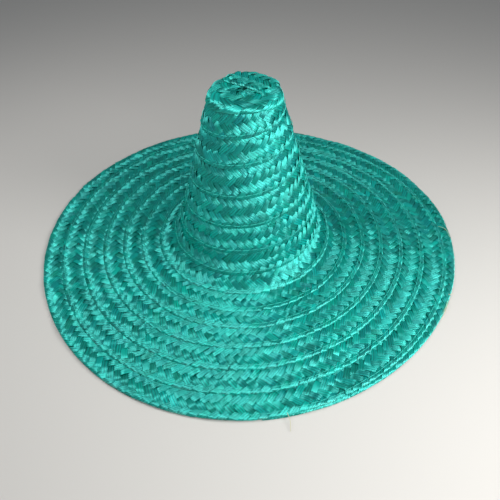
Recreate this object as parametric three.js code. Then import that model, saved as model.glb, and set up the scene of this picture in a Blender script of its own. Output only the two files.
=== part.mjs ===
// A wide sombrero of dyed palm straw with a tall tapering crown.
// Units are millimetres, +Z is up, and the front of the hat looks towards -Y.
// The hat lies on its brim, so its underside touches the plane z = 0.
//
// The real hat is one flat braid sewn round and round from the tip to the rim.
// Each round lies on the next one like a roof tile, so the outside and the inside
// both climb in a low spiral step, whose line is the seam.

import * as THREE from 'three';

// Driving sizes.
const WALL = 2;              // thickness of the sewn braid
const STEP = 0.9;            // height of the braid's edge over the next round
const STEP_FADE = 6;         // the step fades out where a round narrows below this width
const GAP = 0.3;             // clearance between neighbouring pieces
const RIM_RADIUS = 259;
const CROWN_HEIGHT = 209;
const BRIM_START = 110;      // radius from which the brim takes on the rim's waves
const CROWN_OFFSET = 3.6;    // the crown stands this far to the right of the brim's middle
const TIP_ARCH = 5;          // the tip's edge rises this much at the front and at the back
const REST_WIDTH = 38;       // width of the flat band of brim that the hat rests on
const SEGMENTS = 56;         // facets in one turn of the seam
const TIP_SEGMENTS = 28;
const TIP_RINGS = [0, 0.4, 0.76, 0.83, 0.9, 1];   // shares of the tip's reach where its facets meet

// Corners of the half section from the top of the crown to the rim, each with its rounding.
const OUTLINE = [
  { radius: 0, height: CROWN_HEIGHT - STEP, rounding: 0 },
  { radius: 38, height: 206, rounding: 7 },
  { radius: 93.2, height: 12, rounding: 36 },
  { radius: RIM_RADIUS - REST_WIDTH, height: WALL, rounding: 150 },
  { radius: RIM_RADIUS, height: WALL, rounding: 0 },
];

// Widths of the rounds of braid along the front, from the tip's edge downwards and outwards.
const TIP_REACH = 42;        // from the top of the crown to the tip's edge
const CROWN_ROUNDS = [25, 31, 35, 35, 32, 28, 22];
const BRIM_ROUNDS = [24, 22, 24, 25, 26];

// The seam drops or widens by one round in each turn, faster at the right front than elsewhere.
const SEAM_UNEVENNESS = 0.9;
const SEAM_EASIEST = 0.375;  // where in the turn it runs most nearly level

// How the rim leaves a true circle: lobes round it, their swing, and where the first one is.
const RIM_WAVES = [
  { lobes: 1, swing: 2.4, degrees: 256 },
  { lobes: 2, swing: 2.9, degrees: 165 },
  { lobes: 3, swing: 3.0, degrees: 15 },
];

const FULL_TURN = 2 * Math.PI;
const FRONT = -Math.PI / 2;

// The half section as straight lines and arcs, each piece with its length.
function sectionPieces(corners) {
  const points = corners.map((corner) => new THREE.Vector2(corner.radius, corner.height));
  const pieces = [];
  let from = points[0];
  for (let i = 1; i < points.length - 1; i += 1) {
    const before = points[i - 1].clone().sub(points[i]).normalize();
    const after = points[i + 1].clone().sub(points[i]).normalize();
    const turn = Math.PI - before.angleTo(after);
    const reach = corners[i].rounding * Math.tan(turn / 2);
    const arcStart = points[i].clone().addScaledVector(before, reach);
    const arcEnd = points[i].clone().addScaledVector(after, reach);
    const towardsMiddle = before.clone().add(after).normalize();
    const middle = points[i].clone().addScaledVector(towardsMiddle, corners[i].rounding / Math.cos(turn / 2));
    const left = before.cross(after) < 0 ? 1 : -1;
    pieces.push({ from, to: arcStart, length: from.distanceTo(arcStart) });
    pieces.push({ middle, from: arcStart, sweep: left * turn, length: corners[i].rounding * turn });
    from = arcEnd;
  }
  const last = points[points.length - 1];
  pieces.push({ from, to: last, length: from.distanceTo(last) });
  return pieces;
}

const SECTION = sectionPieces(OUTLINE);
const SECTION_LENGTH = SECTION.reduce((sum, piece) => sum + piece.length, 0);

// The section's point and outward normal at a distance along it from the top of the crown.
function sectionAt(distance) {
  let left = Math.min(Math.max(distance, 0), SECTION_LENGTH);
  let piece = SECTION[0];
  for (piece of SECTION) {
    if (left <= piece.length) break;
    left -= piece.length;
  }
  left = Math.min(left, piece.length);
  if (piece.middle) {
    const angle = piece.sweep * (left / piece.length);
    const point = piece.from.clone().rotateAround(piece.middle, angle);
    const side = Math.sign(piece.sweep);
    const normal = piece.middle.clone().sub(point).multiplyScalar(side).normalize();
    return { point, normal };
  }
  const along = piece.to.clone().sub(piece.from).normalize();
  const point = piece.from.clone().addScaledVector(along, left);
  return { point, normal: new THREE.Vector2(-along.y, along.x) };
}

// The rim's distance from its circle in one direction.
function rimWave(azimuth) {
  const wave = ({ lobes, swing, degrees }) => swing * Math.cos(lobes * (azimuth - THREE.MathUtils.degToRad(degrees)));
  return RIM_WAVES.reduce((sum, row) => sum + wave(row), 0);
}

// A point of the hat: distance down its section, direction round it, and height over that surface.
function hatPoint(distance, azimuth, level) {
  const { point, normal } = sectionAt(distance);
  const brimShare = THREE.MathUtils.smoothstep(point.x, BRIM_START, RIM_RADIUS);
  const lean = distance > 0 ? normal.x : 0;
  const radius = point.x + level * lean + rimWave(azimuth) * brimShare;
  const height = point.y + level * normal.y;
  const offset = CROWN_OFFSET * (1 - brimShare);
  return [radius * Math.cos(azimuth) + offset, radius * Math.sin(azimuth), height];
}

// Collects polygons, joins points that coincide, and drops faces that they flatten.
class Skin {
  constructor() {
    this.positions = [];
    this.faces = [];
    this.known = new Map();
  }

  vertex(point) {
    const key = point.map((value) => Math.round(value * 1000)).join(' ');
    if (!this.known.has(key)) {
      this.known.set(key, this.positions.length / 3);
      this.positions.push(...point);
    }
    return this.known.get(key);
  }

  polygon(...points) {
    const all = points.map((point) => this.vertex(point));
    const corners = all.filter((corner, i) => corner !== all[(i + 1) % all.length]);
    for (let i = 1; i < corners.length - 1; i += 1) {
      this.faces.push(corners[0], corners[i], corners[i + 1]);
    }
  }

  geometry() {
    const geometry = new THREE.BufferGeometry();
    geometry.setAttribute('position', new THREE.Float32BufferAttribute(this.positions, 3));
    geometry.setIndex(this.faces);
    geometry.computeVertexNormals();
    return geometry;
  }
}

// The direction in which the seam has come after some turns: clockwise from the front, seen from above.
function seamAzimuth(turns) {
  return FRONT - FULL_TURN * turns;
}

// How many rounds the seam has moved on after some turns.
function seamProgress(turns) {
  const phase = FULL_TURN * (turns - SEAM_EASIEST);
  const start = FULL_TURN * -SEAM_EASIEST;
  return turns - (SEAM_UNEVENNESS / FULL_TURN) * (Math.sin(phase) - Math.sin(start));
}

// The seam's distance down the section, from the distances where it crosses the front.
function seamDistance(seams, turns) {
  const progress = THREE.MathUtils.clamp(seamProgress(turns), 0, seams.length - 1);
  const round = Math.min(Math.floor(progress), seams.length - 2);
  return THREE.MathUtils.lerp(seams[round], seams[round + 1], progress - round);
}

// Where the seam crosses the front, from a first distance and the widths of the rounds.
function seamsFrom(first, widths) {
  const seams = [first];
  for (const width of widths) {
    seams.push(seams[seams.length - 1] + width);
  }
  return seams;
}

// A wall of sewn rounds between an upper edge and the last seam, both closed rings.
// cuts is the number of facets across one round.
function roundsGeometry({ upperEdge, seams, lowerEdge, cuts, flatFrom }) {
  const rounds = seams.length - 1;
  const skin = new Skin();

  function braid(column) {
    const turns = column / SEGMENTS;
    const azimuth = seamAzimuth(turns);
    const upper = column < 0 ? upperEdge(azimuth) : seamDistance(seams, turns);
    const lower = turns + 1 >= rounds ? lowerEdge : seamDistance(seams, turns + 1);
    const top = column >= rounds * SEGMENTS ? lowerEdge : Math.max(upper, upperEdge(azimuth));
    const rise = STEP * Math.min(1, (lower - top) / STEP_FADE);
    const outside = [];
    const inside = [];
    for (let cut = 0; cut <= cuts; cut += 1) {
      const share = cut / cuts;
      const distance = THREE.MathUtils.lerp(top, lower, share);
      const insideRise = distance < flatFrom ? rise * share : 0;
      outside.push(hatPoint(distance, azimuth, rise * share));
      inside.push(hatPoint(distance, azimuth, insideRise - WALL));
    }
    return { outside, inside };
  }

  const first = -SEGMENTS;
  const last = rounds * SEGMENTS;
  const columns = new Map();
  for (let column = first; column <= last; column += 1) {
    columns.set(column, braid(column));
  }

  for (let column = first; column < last; column += 1) {
    const here = columns.get(column);
    const next = columns.get(column + 1);
    for (let cut = 0; cut < cuts; cut += 1) {
      skin.polygon(here.outside[cut], next.outside[cut], next.outside[cut + 1], here.outside[cut + 1]);
      skin.polygon(here.inside[cut], here.inside[cut + 1], next.inside[cut + 1], next.inside[cut]);
    }
    if (column + SEGMENTS < last) {
      const below = columns.get(column + SEGMENTS);
      const belowNext = columns.get(column + SEGMENTS + 1);
      skin.polygon(here.outside[cuts], next.outside[cuts], belowNext.outside[0], below.outside[0]);
      skin.polygon(here.inside[cuts], below.inside[0], belowNext.inside[0], next.inside[cuts]);
    }
    if (column < 0) {
      skin.polygon(here.inside[0], next.inside[0], next.outside[0], here.outside[0]);
    }
  }
  closeLowerEdge(skin, columns, cuts, last);
  return skin.geometry();
}

// The lower ring of a wall. Where the last round starts and runs out, one column stands on the other.
function closeLowerEdge(skin, columns, cuts, last) {
  const ringStart = last - SEGMENTS;
  const start = columns.get(ringStart);
  const end = columns.get(last);
  for (let column = ringStart; column < last; column += 1) {
    const here = columns.get(column);
    const next = columns.get(column + 1);
    const first = column === ringStart ? [end.outside[cuts]] : [];
    const final = column === last - 1 ? [start.inside[cuts]] : [];
    const nearSide = [here.inside[cuts], ...first, here.outside[cuts]];
    const farSide = [next.outside[cuts], ...final, next.inside[cuts]];
    if (column === ringStart) {
      skin.polygon(...farSide, ...nearSide);
    } else {
      skin.polygon(...nearSide, ...farSide);
    }
  }
}

// The cap that closes the crown, slightly domed, with a rounded shoulder.
function tipGeometry(edge) {
  const skin = new Skin();
  const outside = (ring, azimuth) => hatPoint(ring * edge(azimuth), azimuth, STEP);
  const inside = (ring, azimuth) => hatPoint(ring * edge(azimuth), azimuth, STEP - WALL);
  for (let segment = 0; segment < TIP_SEGMENTS; segment += 1) {
    const a = -FULL_TURN * (segment / TIP_SEGMENTS);
    const b = -FULL_TURN * (((segment + 1) % TIP_SEGMENTS) / TIP_SEGMENTS);
    for (let i = 0; i < TIP_RINGS.length - 1; i += 1) {
      const [near, far] = [TIP_RINGS[i], TIP_RINGS[i + 1]];
      skin.polygon(outside(near, a), outside(near, b), outside(far, b), outside(far, a));
      skin.polygon(inside(near, a), inside(far, a), inside(far, b), inside(near, b));
    }
    skin.polygon(outside(1, a), outside(1, b), inside(1, b), inside(1, a));
  }
  return skin.geometry();
}

// The tip's edge, arched up at the front and at the back.
function tipEdge(azimuth) {
  return TIP_REACH + TIP_ARCH * Math.cos(azimuth) ** 2;
}

function strawMaterial(color) {
  return new THREE.MeshStandardMaterial({ color, roughness: 0.55, metalness: 0 });
}

function strawPiece(name, geometry, color) {
  const piece = new THREE.Mesh(geometry, strawMaterial(color));
  piece.name = name;
  return piece;
}

const crownSeams = seamsFrom(TIP_REACH, CROWN_ROUNDS);
const crownEnd = crownSeams[crownSeams.length - 1];
const brimSeams = [...seamsFrom(crownEnd, BRIM_ROUNDS), SECTION_LENGTH];

const crownTip = strawPiece('crown_tip', tipGeometry((azimuth) => tipEdge(azimuth) - GAP), 0x22a292);

const crown = strawPiece('crown', roundsGeometry({
  upperEdge: tipEdge,
  seams: crownSeams,
  lowerEdge: crownEnd - GAP,
  cuts: 2,
  flatFrom: SECTION_LENGTH,
}), 0x1f9c8c);

const brim = strawPiece('brim', roundsGeometry({
  upperEdge: () => crownEnd,
  seams: brimSeams,
  lowerEdge: SECTION_LENGTH,
  cuts: 1,
  flatFrom: SECTION_LENGTH - REST_WIDTH,
}), 0x1c9484);

const sombrero = new THREE.Group();
sombrero.add(crownTip, crown, brim);

// The origin lies on the resting plane, under the middle of the brim.
const reach = new THREE.Box3().setFromObject(sombrero);
sombrero.position.x = -(reach.min.x + reach.max.x) / 2;
sombrero.position.y = -(reach.min.y + reach.max.y) / 2;
sombrero.updateMatrixWorld(true);

export default sombrero;
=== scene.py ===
"""Green sombrero of palm straw: one flat braid wound in a spiral, lapped round over round and sewn."""

import math

import bpy
import numpy as np
from mathutils import Matrix, Vector


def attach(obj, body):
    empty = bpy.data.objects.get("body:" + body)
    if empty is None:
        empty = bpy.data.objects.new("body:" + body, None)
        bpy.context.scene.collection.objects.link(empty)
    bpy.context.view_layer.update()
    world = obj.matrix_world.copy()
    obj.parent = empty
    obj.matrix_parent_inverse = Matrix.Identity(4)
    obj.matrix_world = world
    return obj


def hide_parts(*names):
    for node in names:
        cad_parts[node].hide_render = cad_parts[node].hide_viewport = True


# Driving dimensions of the hat in millimetres and degrees, the same as in the part's source
RIM_RADIUS = 259.0
BRIM_START = 110.0
CROWN_OFFSET = 3.6
OUTLINE = [
    {"radius": 0, "height": 208.1, "rounding": 0},
    {"radius": 38, "height": 206, "rounding": 7},
    {"radius": 93.2, "height": 12, "rounding": 36},
    {"radius": 221, "height": 2, "rounding": 150},
    {"radius": RIM_RADIUS, "height": 2, "rounding": 0},
]
TIP_REACH = 42.0
TIP_ARCH = 5.0
CROWN_ROUNDS = [25, 31, 35, 35, 32, 28, 22]
BRIM_ROUNDS = [24, 22, 24, 25, 26]
SEAM_UNEVENNESS = 0.9
SEAM_EASIEST = 0.375
RIM_WAVES = [
    {"lobes": 1, "swing": 2.4, "azimuth": 256},
    {"lobes": 2, "swing": 2.9, "azimuth": 165},
    {"lobes": 3, "swing": 3.0, "azimuth": 15},
]
CENTRE = (-1.5407, 4.45)

# Unevenness from handling: dents this deep, with waves from the shortest to the longest, in millimetres
DENT = 0.7
DENT_WAVES = (32, 90)
DENT_COUNT = 18

# The braid, in millimetres: eight strands plaited flat in a 2/2 twill
PITCH = 9.5
STRANDS = 8
BRAID_WIDTH = PITCH * STRANDS / 2
CELL = PITCH / math.sqrt(2)
STRAND_WIDTH = 7.1
STRAND_SWELL = 0.48
STRAND_ROLL = math.radians(8)
STRAND_LIFT = 0.26
STRAND_DRIFT = 0.3
PLAIT_DEPTH = 0.78
FLOAT_FLATNESS = 1.1
FOLD_ROUNDING = 1.2
LAP = 1.7
EDGE_DROP = 1.0
EDGE_REACH = 3.0
SINK = 1.35
LYING_RUN = 40.0
BRIM_LIFT = 1.0
FLOOR_EASE = 1.2
FULL_ROUND = 24.0
SECTIONS_PER_CELL = 5

# How the strands vary, as shares: from one to another, along each one, and down to this swell at a fold
WIDTH_RANGE = (0.92, 1.04)
SWELL_RANGE = (0.7, 1.3)
WIDTH_WAVER = 0.06
SWELL_AT_FOLD = 0.35

# Lengths in millimetres of the uneven waves along each strand, and the mix of scales that makes them uneven
WIDTH_WAVE = 15
ROLL_WAVE = 24
LIFT_WAVE = 20
DRIFT_WAVE = 60
WAVE_SCALES = (0.7, 1.0, 1.6)
WAVE_CALM = 1.5

# The tip, in millimetres, with the strap's crowding, relief and fullness as shares of the plain braid's
TIP_RING_PITCHES = 12
TIP_RING_CLOSE = 2.5
STRAP_PITCHES = 11
STRAP_DEGREES = -40
STRAP_ASIDE = 19.5
STRAP_FRONT = 20.0
STRAP_BACK = 30.0
STRAP_TUCK = 6.0
STRAP_LEVEL = 1.0
STRAP_UNDER = -2.4
STRAP_CROWDING = 0.3
STRAP_RELIEF = 1.5
STRAP_FULLNESS = 0.92

# Dye: its colour, the spread of its depth and of its blue, and how far a strand's depth may stray
STRAW = np.array([0.0005, 0.27, 0.222])
DYE_UNEVENNESS = 0.28
BLUE_UNEVENNESS = 0.015
DEPTH_LIMIT = 1.6

# Pale edges, partly real wear and partly a painted highlight: their colour, their share at the folds and at
# the rim, their reach in millimetres, and the hues, in spreads of the hue, from which a strand starts to be
# pale and is fully pale
WORN_AND_HIGHLIGHT_STRAW = np.array([0.17, 0.55, 0.42])
FOLD_WEAR_AND_HIGHLIGHT = 0.45
RIM_WEAR_AND_HIGHLIGHT = 0.9
WEAR_AND_HIGHLIGHT_REACH = 1.0
WEAR_AND_HIGHLIGHT_STARTS = -0.5
WEAR_AND_HIGHLIGHT_FULL = 1.5

# Ribs along each strand, in millimetres, and the relief of its fibres as a share of theirs
RIB_SPACING = 2.6
FIBRE_RELIEF = 0.6
# Each strand takes its grain from a place of its own: at most so far across the textures, and so many times
# as far along them
GRAIN_SPREAD = 900
GRAIN_STRIDE = 3
# A wave texture of scale 1 has its straight bands at this distance
WAVE_PERIOD = math.pi / 10

# Sewing thread, in millimetres, from this turn of the spiral on
FIRST_STITCH = 0.35
STITCH = 9.0
STITCH_GAP = 0.7
STITCH_INSET = 4.5
STITCH_SWAY = 0.25
STITCH_SWAY_RUN = 31
STITCH_SCATTER = 0.12
STITCH_DIP = 0.5
STITCH_DIP_POWER = 6
STITCH_POINTS = 6
THREAD_RADIUS = 0.38
PLY_SPACING = 0.7
THREAD_COLOUR = (0.05, 0.74, 0.64)
THREAD_ROUGHNESS = 0.7

# Loose fibres and frayed strands, in millimetres
FIBRE_RADIUS = 0.36
FIBRE_COLOUR = (0.62, 0.60, 0.42)
GREEN_FIBRE_COLOUR = (0.34, 0.60, 0.36)
FIBRE_ROUGHNESS = 0.6

# Thin tubes: a direction that none of them runs along, and how far and how bluntly their ends close
ASKEW = (0.31, 0.17, 0.93)
END_ANGLE = 0.12
END_BLUNTNESS = 0.3

# Meshing and chance
SHARP_ANGLE = math.radians(60)
SPIRAL_SAMPLES = 4000
MM = 0.001
SEED = 11
rng = np.random.default_rng(SEED)


# The hat's surface

def section_pieces():
    """The section's straight lines and arcs from the tip's centre to the rim."""
    corners = [np.array([row["radius"], row["height"]], float) for row in OUTLINE]
    pieces = []
    start = corners[0]
    for before, corner, after, row in zip(corners, corners[1:], corners[2:], OUTLINE[1:]):
        arriving = (corner - before) / np.linalg.norm(corner - before)
        leaving = (after - corner) / np.linalg.norm(after - corner)
        side = np.sign(arriving[0] * leaving[1] - arriving[1] * leaving[0])
        turn = math.acos(arriving @ leaving)
        cut = row["rounding"] * math.tan(turn / 2)
        arc_start = corner - arriving * cut
        across = side * np.array([-arriving[1], arriving[0]])
        pieces.append({"from": start, "to": arc_start})
        pieces.append({
            "centre": arc_start + across * row["rounding"],
            "radius": row["rounding"],
            "first": math.atan2(-across[1], -across[0]),
            "sweep": side * turn,
        })
        start = corner + leaving * cut
    pieces.append({"from": start, "to": corners[-1]})
    return pieces


def section_table(step=0.5):
    """Distance down the section, radius, height and outward normal, at close steps."""
    tables = []
    reached = 0.0
    for piece in section_pieces():
        if "from" in piece:
            run = piece["to"] - piece["from"]
            length = np.linalg.norm(run)
            share = np.linspace(0, 1, max(2, int(length / step)))[:, None]
            points = piece["from"] + share * run
            along = np.broadcast_to(run / length, points.shape)
        else:
            length = abs(piece["sweep"]) * piece["radius"]
            share = np.linspace(0, 1, max(2, int(length / step)))[:, None]
            angle = piece["first"] + piece["sweep"] * share
            points = piece["centre"] + piece["radius"] * np.hstack([np.cos(angle), np.sin(angle)])
            along = np.sign(piece["sweep"]) * np.hstack([-np.sin(angle), np.cos(angle)])
        normal = np.stack([-along[:, 1], along[:, 0]], 1)
        tables.append(np.hstack([reached + share * length, points, normal]))
        reached += length
    return np.vstack(tables)


SECTION = section_table()
SECTION_LENGTH = SECTION[-1, 0]
SEAMS = np.append(TIP_REACH + np.cumsum([0] + CROWN_ROUNDS + BRIM_ROUNDS), SECTION_LENGTH)
ROUNDS = len(SEAMS) - 1


def smoothstep(value, low, high):
    share = np.clip((value - low) / (high - low), 0, 1)
    return share * share * (3 - 2 * share)


def dent_waves():
    """Random directions and phases of the waves that make the dents."""
    directions = rng.normal(0, 1, (DENT_COUNT, 3))
    directions /= np.linalg.norm(directions, axis=1, keepdims=True)
    lengths = rng.uniform(*DENT_WAVES, (DENT_COUNT, 1))
    return 2 * math.pi * directions / lengths, rng.uniform(0, 2 * math.pi, DENT_COUNT)


DENTS, DENT_PHASES = dent_waves()


def dent_rise(x, y, z):
    """How far the surface stands out at a point, from -1 to 1."""
    swing = sum(np.sin(x * k[0] + y * k[1] + z * k[2] + phase) for k, phase in zip(DENTS, DENT_PHASES))
    return np.tanh(swing / math.sqrt(DENT_COUNT / 2))


def hat_point(distance, azimuth, level):
    """Points in millimetres at these distances down the section, azimuths and levels above the surface."""
    radius, height, out, up = (np.interp(distance, SECTION[:, 0], column) for column in SECTION.T[1:])
    # The brim rests on the floor, so its braid lies on top of the surface and is dented upward only
    lying = smoothstep(radius, BRIM_START - CROWN_OFFSET, BRIM_START + LYING_RUN)
    dent = dent_rise(radius * np.cos(azimuth), radius * np.sin(azimuth), height)
    level = level + DENT * (dent + lying) + BRIM_LIFT * lying
    brim_share = smoothstep(radius, BRIM_START, RIM_RADIUS)
    wave = sum(w["swing"] * np.cos(w["lobes"] * (azimuth - math.radians(w["azimuth"]))) for w in RIM_WAVES)
    reach = radius + level * out + wave * brim_share
    offset = CROWN_OFFSET * (1 - brim_share)
    x = reach * np.cos(azimuth) + offset + CENTRE[0]
    y = reach * np.sin(azimuth) + CENTRE[1]
    z = height + level * up
    # What comes lower than the ease is pressed together above the floor
    z = np.where(z < FLOOR_EASE, FLOOR_EASE * np.exp(np.minimum(z / FLOOR_EASE - 1, 0)), z)
    return np.stack(np.broadcast_arrays(x, y, z), -1)


def seam_azimuth(turns):
    return -math.pi / 2 - 2 * math.pi * turns


def seam_distance(turns):
    """Distance down the section of the braid's lapping edge after so many turns from the tip."""
    swing = SEAM_UNEVENNESS / (2 * math.pi)
    easiest = 2 * math.pi * SEAM_EASIEST
    progress = turns - swing * (np.sin(2 * math.pi * turns - easiest) + math.sin(easiest))
    return np.interp(progress, np.arange(len(SEAMS)), SEAMS)


def spiral_lengths():
    """Turns and the length of braid used up by then, measured along the visible middle of the rounds."""
    turns = np.linspace(0, ROUNDS + 1, SPIRAL_SAMPLES)
    middle = np.maximum(seam_distance(turns) - FULL_ROUND / 2, TIP_REACH / 2)
    points = hat_point(middle, seam_azimuth(turns), 0)
    steps = np.linalg.norm(np.diff(points, axis=0), axis=1)
    return turns, np.append(0, np.cumsum(steps))


TURNS, LENGTHS = spiral_lengths()


# Many closed ribbons as one mesh

def ribbon_faces(ribbons, sections, corners):
    """Quads of closed ribbons whose vertices are numbered ribbon by ribbon, section by section."""
    at = np.arange(ribbons * sections * corners).reshape(ribbons, sections, corners)
    onward = np.roll(at, -1, axis=2)
    sides = np.stack([at[:, :-1], at[:, 1:], onward[:, 1:], onward[:, :-1]], -1).reshape(-1, 4)
    first_caps = at[:, 0, :4]
    last_caps = at[:, -1, 3::-1]
    return np.vstack([sides, first_caps, last_caps])


def mesh_object(name, points, faces, grain, tint):
    """An object from points in millimetres, its quads, its grain coordinates and its straw tint."""
    mesh = bpy.data.meshes.new(name)
    mesh.vertices.add(len(points))
    mesh.vertices.foreach_set("co", (points * MM).astype(np.float32).ravel())
    mesh.loops.add(faces.size)
    mesh.loops.foreach_set("vertex_index", faces.astype(np.int32).ravel())
    mesh.polygons.add(len(faces))
    mesh.polygons.foreach_set("loop_start", np.arange(0, faces.size, 4, dtype=np.int32))
    mesh.update(calc_edges=True)
    mesh.polygons.foreach_set("use_smooth", np.ones(len(faces), bool))
    layer = mesh.uv_layers.new(name="grain")
    layer.data.foreach_set("uv", grain[faces.ravel()].astype(np.float32).ravel())
    colour = mesh.color_attributes.new("tint", "FLOAT_COLOR", "POINT")
    colour.data.foreach_set("color", np.append(tint, np.ones((len(tint), 1)), 1).astype(np.float32).ravel())
    mesh.set_sharp_from_angle(angle=SHARP_ANGLE)
    obj = bpy.data.objects.new(name, mesh)
    bpy.context.scene.collection.objects.link(obj)
    return obj


# The plait

def wander(count, steps, wave):
    """A smooth random swing along each of so many strands, with waves about this long."""
    swing = 0
    for scale in WAVE_SCALES:
        phase = rng.uniform(0, 2 * math.pi, (count, 1, 1))
        swing = swing + np.sin(2 * math.pi * steps[None, :, None] / (wave * scale) + phase)
    return swing / WAVE_CALM


def plait(pitches, first=0, relief=1.0, fullness=1.0):
    """Legs of a flat braid so many pitches long, as arrays of leg by section by corner.

    A leg runs from the fold at one edge to the fold at the other, leaning back or forward along the braid.
    On the leg itself, a is the distance from its first fold and x the distance from its middle line.
    """
    steps = np.linspace(0, STRANDS * CELL, STRANDS * SECTIONS_PER_CELL + 1)
    fold_share = np.clip(1 - np.minimum(steps, steps[-1] - steps) / CELL, 0, 1)
    start = (first + np.arange(pitches)) * PITCH
    count = len(start)
    legs = []
    for lean in (-1, 1):
        width = STRAND_WIDTH * fullness * rng.uniform(*WIDTH_RANGE, (count, 1, 1))
        swell = STRAND_SWELL * relief * rng.uniform(*SWELL_RANGE, (count, 1, 1))
        x = np.array([-0.5, 0, 0.5, 0]) * width * (1 + WIDTH_WAVER * wander(count, steps, WIDTH_WAVE))
        bulge = np.array([0, 1, 0, -1]) * swell
        a = steps[None, :, None] + lean * x * fold_share[None, :, None]
        tilt = x * STRAND_ROLL * wander(count, steps, ROLL_WAVE)
        lift = STRAND_LIFT * wander(count, steps, LIFT_WAVE)
        x = x + STRAND_DRIFT * wander(count, steps, DRIFT_WAVE)
        along = start[:, None, None] + (lean * a + x) / math.sqrt(2)
        across = np.clip((a - lean * x) / math.sqrt(2), 0, BRAID_WIDTH)
        over = np.tanh(FLOAT_FLATNESS * np.cos(math.pi * (a / CELL - 0.5) / 2)) / math.tanh(FLOAT_FLATNESS)
        to_edge = np.minimum(across, BRAID_WIDTH - across)
        # Both sides of the braid come together in a round fold at its edges
        fold = np.sqrt(1 - (1 - to_edge / FOLD_ROUNDING).clip(0, 1) ** 2)
        height = (tilt - PLAIT_DEPTH * relief * lean * over) * fold + lift
        height = height + bulge * (SWELL_AT_FOLD + (1 - SWELL_AT_FOLD) * fold)
        seed = rng.uniform(0, GRAIN_SPREAD, (count, 1, 1))
        grain = np.stack(np.broadcast_arrays(x + seed, a + GRAIN_STRIDE * seed), -1)
        depth = rng.normal(0, 1, (count, 1, 1)).clip(-DEPTH_LIMIT, DEPTH_LIMIT)
        hue = rng.normal(0, 1, (count, 1, 1))
        legs.append({
            "along": along,
            "across": across,
            "height": height,
            "grain": grain,
            "lean": np.full(along.shape, lean),
            "depth": np.broadcast_to(depth, along.shape),
            "hue": np.broadcast_to(hue, along.shape),
        })
    return {key: np.concatenate([leg[key] for leg in legs]) for key in legs[0]}


def straw_tint(legs, wear_and_highlight):
    """Colour of each vertex: every strand took the dye differently, and it is paler at the folds, partly
    worn thin and partly a painted highlight.
    """
    depth = np.exp(DYE_UNEVENNESS * legs["depth"])[..., None]
    blue = legs["hue"][..., None] * np.array([0, 0, BLUE_UNEVENNESS])
    dyed = np.clip(STRAW * depth + blue, STRAW.min(), 1)
    edge = np.minimum(legs["across"], BRAID_WIDTH - legs["across"])
    # Paler at the folds and the rim: partly real wear, partly a painted highlight
    worn_and_highlight = wear_and_highlight * np.exp(-edge / WEAR_AND_HIGHLIGHT_REACH) * smoothstep(legs["hue"], WEAR_AND_HIGHLIGHT_STARTS, WEAR_AND_HIGHLIGHT_FULL)
    return dyed + (WORN_AND_HIGHLIGHT_STRAW - dyed) * worn_and_highlight[..., None]


def braid_object(name, legs, points, wear_and_highlight=FOLD_WEAR_AND_HIGHLIGHT):
    """One object of all the legs of a braid, laid on the points."""
    faces = ribbon_faces(*legs["along"].shape)
    tint = straw_tint(legs, wear_and_highlight)
    return mesh_object(name, points.reshape(-1, 3), faces, legs["grain"].reshape(-1, 2), tint.reshape(-1, 3))


def spiral_braid(name, first_turn, last_turn):
    """The braid from one turn of the spiral to another."""
    first, last = (int(round(np.interp(turn, TURNS, LENGTHS) / PITCH)) for turn in (first_turn, last_turn))
    legs = plait(last - first, first)
    turns = np.interp(legs["along"], LENGTHS, TURNS)
    edge = seam_distance(turns)
    # Near the tip the braid has less room than its width, and is drawn in to fit
    tucked = np.minimum(1, (edge - TIP_REACH / 2) / BRAID_WIDTH)
    round_width = edge - np.where(turns < 1, TIP_REACH, seam_distance(turns - 1))
    level = LAP * (round_width - legs["across"]) / np.maximum(round_width, FULL_ROUND)
    level = level - EDGE_DROP * np.exp(-legs["across"] / EDGE_REACH)
    points = hat_point(edge - legs["across"] * tucked, seam_azimuth(turns), level + legs["height"] - SINK)
    # The rim is paler still, partly from wear and partly as a painted highlight
    at_rim = smoothstep(edge, SECTION_LENGTH - BRIM_ROUNDS[-1] / 2, SECTION_LENGTH)
    return braid_object(name, legs, points, FOLD_WEAR_AND_HIGHLIGHT + (RIM_WEAR_AND_HIGHLIGHT - FOLD_WEAR_AND_HIGHLIGHT) * at_rim)


# The tip: a drawn-out round of braid over the crown's shoulder, and a strap of braid across it

def tip_edge(azimuth):
    return TIP_REACH + TIP_ARCH * np.cos(azimuth) ** 2


def tip_ring(name):
    """The first round of braid, drawn in from the tip's edge almost to its centre."""
    legs = plait(TIP_RING_PITCHES)
    azimuth = -2 * math.pi * legs["along"] / (TIP_RING_PITCHES * PITCH)
    share = legs["across"] / BRAID_WIDTH
    distance = tip_edge(azimuth) * (1 - share) + TIP_RING_CLOSE * share
    level = LAP * (1 - share) + legs["height"] - SINK
    return braid_object(name, legs, hat_point(distance, azimuth, level))


def tip_strap(name):
    """A stretch of braid across the top from back left to front right, its ends tucked under the ring."""
    legs = plait(STRAP_PITCHES, relief=STRAP_RELIEF, fullness=STRAP_FULLNESS)
    u = legs["along"] - (STRAP_PITCHES * PITCH + legs["lean"] * BRAID_WIDTH) / 2
    v = legs["across"] - BRAID_WIDTH / 2 + STRAP_ASIDE
    limit = np.where(u > 0, STRAP_FRONT, STRAP_BACK)
    under = smoothstep(np.abs(u), limit, limit + STRAP_TUCK)
    beyond = np.maximum(np.abs(u) - limit - STRAP_TUCK, 0)
    u = u - np.sign(u) * beyond * (1 - STRAP_CROWDING)
    turn = math.radians(STRAP_DEGREES)
    x = u * math.cos(turn) - v * math.sin(turn)
    y = u * math.sin(turn) + v * math.cos(turn)
    level = STRAP_LEVEL + (STRAP_UNDER - STRAP_LEVEL) * under + legs["height"]
    return braid_object(name, legs, hat_point(np.hypot(x, y), np.arctan2(y, x), level))


# Sewing thread and loose fibres as thin square tubes

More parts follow.
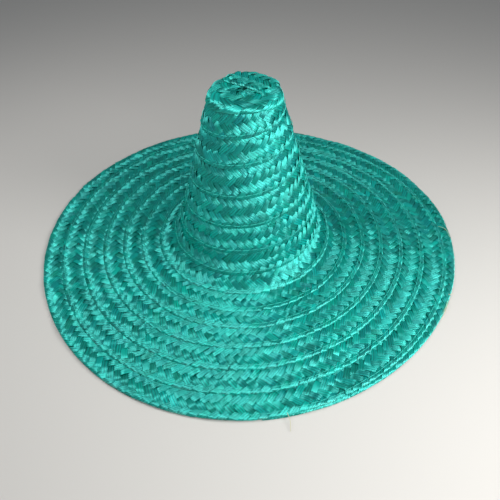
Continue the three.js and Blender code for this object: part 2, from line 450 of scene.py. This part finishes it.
def tube_object(name, paths, radius):
    """One object of thin tubes along paths, an array of paths by points by three, in millimetres."""
    along = np.gradient(paths, axis=1)
    along /= np.linalg.norm(along, axis=2, keepdims=True)
    side = np.cross(along, ASKEW)
    side /= np.linalg.norm(side, axis=2, keepdims=True)
    up = np.cross(side, along)
    ends = np.sin(np.linspace(END_ANGLE, math.pi - END_ANGLE, paths.shape[1])) ** END_BLUNTNESS
    reach = radius * ends[None, :, None, None]
    corners = np.stack([side, up, -side, -up], 2)
    points = (paths[:, :, None] + corners * reach).reshape(-1, 3)
    faces = ribbon_faces(paths.shape[0], paths.shape[1], 4)
    steps = np.linalg.norm(np.diff(paths, axis=1), axis=2)
    reached = np.cumsum(np.pad(steps, ((0, 0), (1, 0))), axis=1)[:, :, None]
    around = np.array([0, 1, 2, 1]) * radius * math.sqrt(2)
    grain = np.stack(np.broadcast_arrays(around, reached), -1).reshape(-1, 2)
    return mesh_object(name, points, faces, grain, np.ones((len(points), 3)))


def seam_stitches(name, first_turn, last_turn, inside):
    """Long stitches in a row near the braid's lapping edge, from one turn of the spiral to another."""
    first, last = (np.interp(turn, TURNS, LENGTHS) for turn in (first_turn, last_turn))
    starts = np.arange(first, last, STITCH)
    share = np.linspace(0, 1, STITCH_POINTS)
    along = starts[:, None] + share * (STITCH - STITCH_GAP)
    turns = np.interp(along, LENGTHS, TURNS)
    sway = STITCH_SWAY * np.sin(along / STITCH_SWAY_RUN)
    inset = STITCH_INSET + sway + rng.normal(0, STITCH_SCATTER, (len(starts), 1))
    rise = PLAIT_DEPTH + STRAND_SWELL
    level = LAP * (1 - STITCH_INSET / FULL_ROUND) - SINK
    dip = STITCH_DIP * (2 * share - 1) ** STITCH_DIP_POWER
    if inside:
        level = level - LAP - rise + dip
    else:
        level = level + rise - dip
    points = hat_point(seam_distance(turns) - inset, seam_azimuth(turns), level)
    return tube_object(name, points, THREAD_RADIUS)


def loose_fibre(start, end, sag, points=14):
    share = np.linspace(0, 1, points)[:, None]
    bend = np.sin(math.pi * share) * np.array(sag)
    return np.array(start) + share * (np.array(end) - np.array(start)) + bend


# Materials

def add_range(nodes, source, target):
    """A node that turns the source range into the target range."""
    node = nodes.new("ShaderNodeMapRange")
    node.inputs["From Min"].default_value, node.inputs["From Max"].default_value = source
    node.inputs["To Min"].default_value, node.inputs["To Max"].default_value = target
    return node


def add_math(nodes, operation):
    node = nodes.new("ShaderNodeMath")
    node.operation = operation
    return node


def straw_material(name):
    """Dyed palm straw: fine fibres and ribs along each strand, painted shade in the furrows between the
    ribs, and a gloss that runs across them.
    """
    material = bpy.data.materials.new(name)
    material.use_nodes = True
    nodes, links = material.node_tree.nodes, material.node_tree.links
    shader = nodes["Principled BSDF"]
    shader.inputs["Roughness"].default_value = 0.46
    shader.inputs["Anisotropic"].default_value = 0.95
    shader.inputs["Specular IOR Level"].default_value = 1.0
    shader.inputs["Specular Tint"].default_value = (0.14, 1.0, 0.93, 1)
    shader.inputs["IOR"].default_value = 2.5
    tangent = nodes.new("ShaderNodeTangent")
    tangent.direction_type = "UV_MAP"
    tangent.uv_map = "grain"
    # The grain's second coordinate runs along the strand, its first across, both in millimetres
    grain = nodes.new("ShaderNodeUVMap")
    grain.uv_map = "grain"
    stretch = nodes.new("ShaderNodeMapping")
    stretch.inputs["Scale"].default_value = (1, 0.04, 1)
    fibres = nodes.new("ShaderNodeTexNoise")
    fibres.inputs["Scale"].default_value = 0.7
    fibres.inputs["Detail"].default_value = 3.0
    ribs = nodes.new("ShaderNodeTexWave")
    ribs.inputs["Scale"].default_value = WAVE_PERIOD / RIB_SPACING
    ribs.inputs["Distortion"].default_value = 2.5
    ribs.inputs["Detail Scale"].default_value = 2.0
    ribbed = nodes.new("ShaderNodeTexNoise")
    ribbed.inputs["Scale"].default_value = 0.08
    tint = nodes.new("ShaderNodeVertexColor")
    tint.layer_name = "tint"
    # The fibres streak the dye, and painted shade darkens it in the furrows between the ribs where the straw
    # is ribbed
    streaks = add_range(nodes, (0.3, 0.7), (0.7, 1.3))
    # Painted shade: the dye is darkened in the furrows between the ribs, and the same map gives their relief
    rib_furrows_and_painted_shade = add_range(nodes, (0.0, 0.45), (0.35, 1.0))
    furrowed = add_range(nodes, (0.35, 0.5), (0.0, 1.0))
    ribbed_relief_and_painted_shade = nodes.new("ShaderNodeMix")
    ribbed_relief_and_painted_shade.inputs["A"].default_value = 1.0
    relief = add_math(nodes, "MULTIPLY_ADD")
    relief.inputs[1].default_value = FIBRE_RELIEF
    streaks_and_painted_shade = add_math(nodes, "MULTIPLY")
    streaked_tint_with_painted_shade = nodes.new("ShaderNodeVectorMath")
    streaked_tint_with_painted_shade.operation = "SCALE"
    bump = nodes.new("ShaderNodeBump")
    bump.inputs["Strength"].default_value = 0.8
    bump.inputs["Distance"].default_value = 0.5 * MM
    links.new(tangent.outputs["Tangent"], shader.inputs["Tangent"])
    links.new(grain.outputs["UV"], stretch.inputs["Vector"])
    for texture in (fibres, ribs, ribbed):
        links.new(stretch.outputs["Vector"], texture.inputs["Vector"])
    links.new(fibres.outputs["Fac"], streaks.inputs["Value"])
    links.new(ribs.outputs["Fac"], rib_furrows_and_painted_shade.inputs["Value"])
    links.new(ribbed.outputs["Fac"], furrowed.inputs["Value"])
    links.new(furrowed.outputs["Result"], ribbed_relief_and_painted_shade.inputs["Factor"])
    links.new(rib_furrows_and_painted_shade.outputs["Result"], ribbed_relief_and_painted_shade.inputs["B"])
    links.new(fibres.outputs["Fac"], relief.inputs[0])
    links.new(ribbed_relief_and_painted_shade.outputs["Result"], relief.inputs[2])
    links.new(streaks.outputs["Result"], streaks_and_painted_shade.inputs[0])
    links.new(ribbed_relief_and_painted_shade.outputs["Result"], streaks_and_painted_shade.inputs[1])
    links.new(tint.outputs["Color"], streaked_tint_with_painted_shade.inputs[0])
    links.new(streaks_and_painted_shade.outputs["Value"], streaked_tint_with_painted_shade.inputs["Scale"])
    links.new(streaked_tint_with_painted_shade.outputs["Vector"], shader.inputs["Base Color"])
    links.new(relief.outputs["Value"], bump.inputs["Height"])
    links.new(bump.outputs["Normal"], shader.inputs["Normal"])
    return material


def plain_material(name, colour, roughness):
    material = bpy.data.materials.new(name)
    material.use_nodes = True
    shader = material.node_tree.nodes["Principled BSDF"]
    shader.inputs["Base Color"].default_value = (*colour, 1)
    shader.inputs["Roughness"].default_value = roughness
    return material


def thread_material(name):
    """Sewing thread twisted of fine plies, with painted shade darkening the grooves between them."""
    material = plain_material(name, THREAD_COLOUR, THREAD_ROUGHNESS)
    nodes, links = material.node_tree.nodes, material.node_tree.links
    shader = nodes["Principled BSDF"]
    grain = nodes.new("ShaderNodeUVMap")
    grain.uv_map = "grain"
    plies = nodes.new("ShaderNodeTexWave")
    # Diagonal bands repeat half as often along each coordinate as straight ones
    plies.bands_direction = "DIAGONAL"
    plies.inputs["Scale"].default_value = 2 * WAVE_PERIOD / PLY_SPACING
    # Painted shade: the thread's colour is darkened in the grooves between its plies
    ply_grooves_painted_shade = add_range(nodes, (0.0, 1.0), (0.55, 1.15))
    twisted_thread_with_painted_shade = nodes.new("ShaderNodeVectorMath")
    twisted_thread_with_painted_shade.operation = "SCALE"
    twisted_thread_with_painted_shade.inputs[0].default_value = THREAD_COLOUR
    bump = nodes.new("ShaderNodeBump")
    bump.inputs["Distance"].default_value = 0.1 * MM
    links.new(grain.outputs["UV"], plies.inputs["Vector"])
    links.new(plies.outputs["Fac"], ply_grooves_painted_shade.inputs["Value"])
    links.new(ply_grooves_painted_shade.outputs["Result"], twisted_thread_with_painted_shade.inputs["Scale"])
    links.new(twisted_thread_with_painted_shade.outputs["Vector"], shader.inputs["Base Color"])
    links.new(plies.outputs["Fac"], bump.inputs["Height"])
    links.new(bump.outputs["Normal"], shader.inputs["Normal"])
    return material


# Floor, light and camera

# The photo's camera: place in metres, angles in degrees, lens and sensor in millimetres
CAMERA_PLACE = (-0.00154, -0.48785, 0.4633)
CAMERA_DOWN = 44.95
CAMERA_YAW = 0.29
CAMERA_ROLL = -2.01
CAMERA_FOCAL = 36.9
SENSOR = 36.0
VIEW_REACH = 50


def add_camera():
    down, yaw, roll = (math.radians(angle) for angle in (CAMERA_DOWN, CAMERA_YAW, CAMERA_ROLL))
    forward = Vector((math.sin(yaw), math.cos(yaw) * math.cos(down), -math.cos(yaw) * math.sin(down)))
    right = forward.cross(Vector((0, 0, 1))).normalized()
    up = right.cross(forward)
    level_right, level_up = right.copy(), up.copy()
    right = level_right * math.cos(roll) + level_up * math.sin(roll)
    up = level_up * math.cos(roll) - level_right * math.sin(roll)
    data = bpy.data.cameras.new("camera")
    data.lens = CAMERA_FOCAL
    data.sensor_width = SENSOR
    data.clip_end = VIEW_REACH
    camera = bpy.data.objects.new("camera", data)
    turned = Matrix((right, up, -forward)).transposed().to_4x4()
    camera.matrix_world = Matrix.Translation(CAMERA_PLACE) @ turned
    bpy.context.scene.collection.objects.link(camera)
    bpy.context.scene.camera = camera


# Places and sizes in metres, power in watts
LIGHTS = [
    {"name": "right", "place": (0.6, -0.35, 0.5), "aim": (0, -0.05, 0.05), "long_way": (0.6, 0.5, 0),
     "size": (0.4, 0.3), "power": 3.6},
    {"name": "front", "place": (0.24, -0.52, 0.5), "aim": (0, -0.05, 0.05), "long_way": (1, 0.4, 0),
     "size": (0.5, 0.3), "power": 2.2},
    {"name": "left", "place": (-0.4, 0, 0.7), "aim": (-0.12, -0.05, 0), "long_way": (0, 1, 0),
     "size": (0.4, 0.3), "power": 2.2},
]
LIGHT_COLOUR = (1.0, 0.98, 0.95)
SKY_COLOUR = (0.9, 0.95, 1.0)
SKY_STRENGTH = 0.2
FLOOR_SIZE = 60
FLOOR_COLOUR = (0.64, 0.63, 0.61)
FLOOR_ROUGHNESS = 0.8


def add_light(name, place, aim, long_way, size, power):
    """A soft oval light at a place, turned to its aim, with its long side along the long way."""
    data = bpy.data.lights.new(name, "AREA")
    data.shape = "ELLIPSE"
    data.size, data.size_y = size
    data.energy = power
    data.color = LIGHT_COLOUR
    light = bpy.data.objects.new(name, data)
    back = (Vector(place) - Vector(aim)).normalized()
    side = (Vector(long_way) - back * back.dot(Vector(long_way))).normalized()
    turned = Matrix((side, back.cross(side), back)).transposed().to_4x4()
    light.matrix_world = Matrix.Translation(place) @ turned
    light.visible_camera = False
    bpy.context.scene.collection.objects.link(light)


def add_studio():
    bpy.ops.mesh.primitive_plane_add(size=FLOOR_SIZE)
    floor = bpy.context.object
    floor.name = "floor"
    floor.data.materials.append(plain_material("floor", FLOOR_COLOUR, FLOOR_ROUGHNESS))
    world = bpy.data.worlds.new("studio")
    world.use_nodes = True
    background = world.node_tree.nodes["Background"]
    background.inputs["Color"].default_value = (*SKY_COLOUR, 1)
    background.inputs["Strength"].default_value = SKY_STRENGTH
    bpy.context.scene.world = world
    for row in LIGHTS:
        add_light(**row)
    bpy.context.scene.view_settings.view_transform = "Standard"


# The hat

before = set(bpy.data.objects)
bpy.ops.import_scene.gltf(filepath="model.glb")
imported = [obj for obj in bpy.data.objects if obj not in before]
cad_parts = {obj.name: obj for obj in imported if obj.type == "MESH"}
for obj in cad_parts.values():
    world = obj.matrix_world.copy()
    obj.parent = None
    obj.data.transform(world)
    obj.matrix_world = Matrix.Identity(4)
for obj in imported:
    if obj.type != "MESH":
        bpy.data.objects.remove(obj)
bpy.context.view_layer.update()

# The braid is cut into pieces at these turns of the spiral, and the crown ends at CROWN_TURNS
CROWN_TURNS = 7.5
PIECES = [
    {"name": "crown_upper_braid", "turns": (0, 4.6), "node": "crown", "slot": "straw_crown"},
    {"name": "crown_lower_braid", "turns": (4.6, CROWN_TURNS), "node": "crown", "slot": "straw_crown"},
    {"name": "brim_inner_braid", "turns": (CROWN_TURNS, 10), "node": "brim", "slot": "straw_brim"},
    {"name": "brim_middle_braid", "turns": (10, 12), "node": "brim", "slot": "straw_brim"},
    {"name": "brim_outer_braid", "turns": (12, 13.1), "node": "brim", "slot": "straw_brim"},
    {"name": "brim_rim_braid", "turns": (13.1, ROUNDS + 1), "node": "brim", "slot": "straw_brim"},
]
STITCHED = [
    {"name": "crown_seam_thread", "turns": (FIRST_STITCH, CROWN_TURNS), "node": "crown",
     "slot": "straw_crown"},
    {"name": "brim_seam_thread", "turns": (CROWN_TURNS, ROUNDS), "node": "brim", "slot": "straw_brim"},
]

straw = straw_material("palm_straw")
thread = thread_material("sewing_thread")
bare_straw = plain_material("bare_straw", FIBRE_COLOUR, FIBRE_ROUGHNESS)
faded_straw = plain_material("faded_straw", GREEN_FIBRE_COLOUR, FIBRE_ROUGHNESS)

# Both ends of each fibre, and how far its middle lies from the line between them, in millimetres
FIBRES = [
    {"name": "loose_fibre_front", "from": (30, -250, 4), "to": (32, -268.4, 1), "sag": (1.5, 0, 1.5),
     "material": bare_straw},
    {"name": "loose_fibre_right", "from": (249, 1, 5), "to": (258.4, -19, 4), "sag": (2.3, 2.2, 2.2),
     "material": faded_straw},
    {"name": "frayed_strand_edge", "from": (226.8, -120.7, 2.9), "to": (209.8, -147.5, 2.8),
     "sag": (0.6, -0.3, 0.3), "material": bare_straw},
    {"name": "frayed_strand_inner", "from": (224.6, -121.4, 3.3), "to": (214.2, -138.4, 3.1),
     "sag": (0.5, -0.3, 0.5), "material": faded_straw},
    {"name": "frayed_strand_end", "from": (228, -113.5, 3.6), "to": (234.5, -111.5, 3.4),
     "sag": (0, -0.6, 1.0), "material": bare_straw},
]


def add_piece(obj, node, material=straw):
    obj.data.materials.append(material)
    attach(obj, "root")
    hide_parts(node)


for piece in PIECES:
    add_piece(spiral_braid(piece["name"], *piece["turns"]), piece["node"])
add_piece(tip_ring("tip_ring"), "crown_tip")
add_piece(tip_strap("tip_strap"), "crown_tip")
for row in STITCHED:
    for side, inside in (("outside", False), ("inside", True)):
        stitches = seam_stitches(row["name"] + "_" + side, *row["turns"], inside)
        add_piece(stitches, row["node"], thread)
for row in FIBRES:
    path = loose_fibre(row["from"], row["to"], row["sag"])
    add_piece(tube_object(row["name"], path[None], FIBRE_RADIUS), "brim", row["material"])

add_studio()
add_camera()
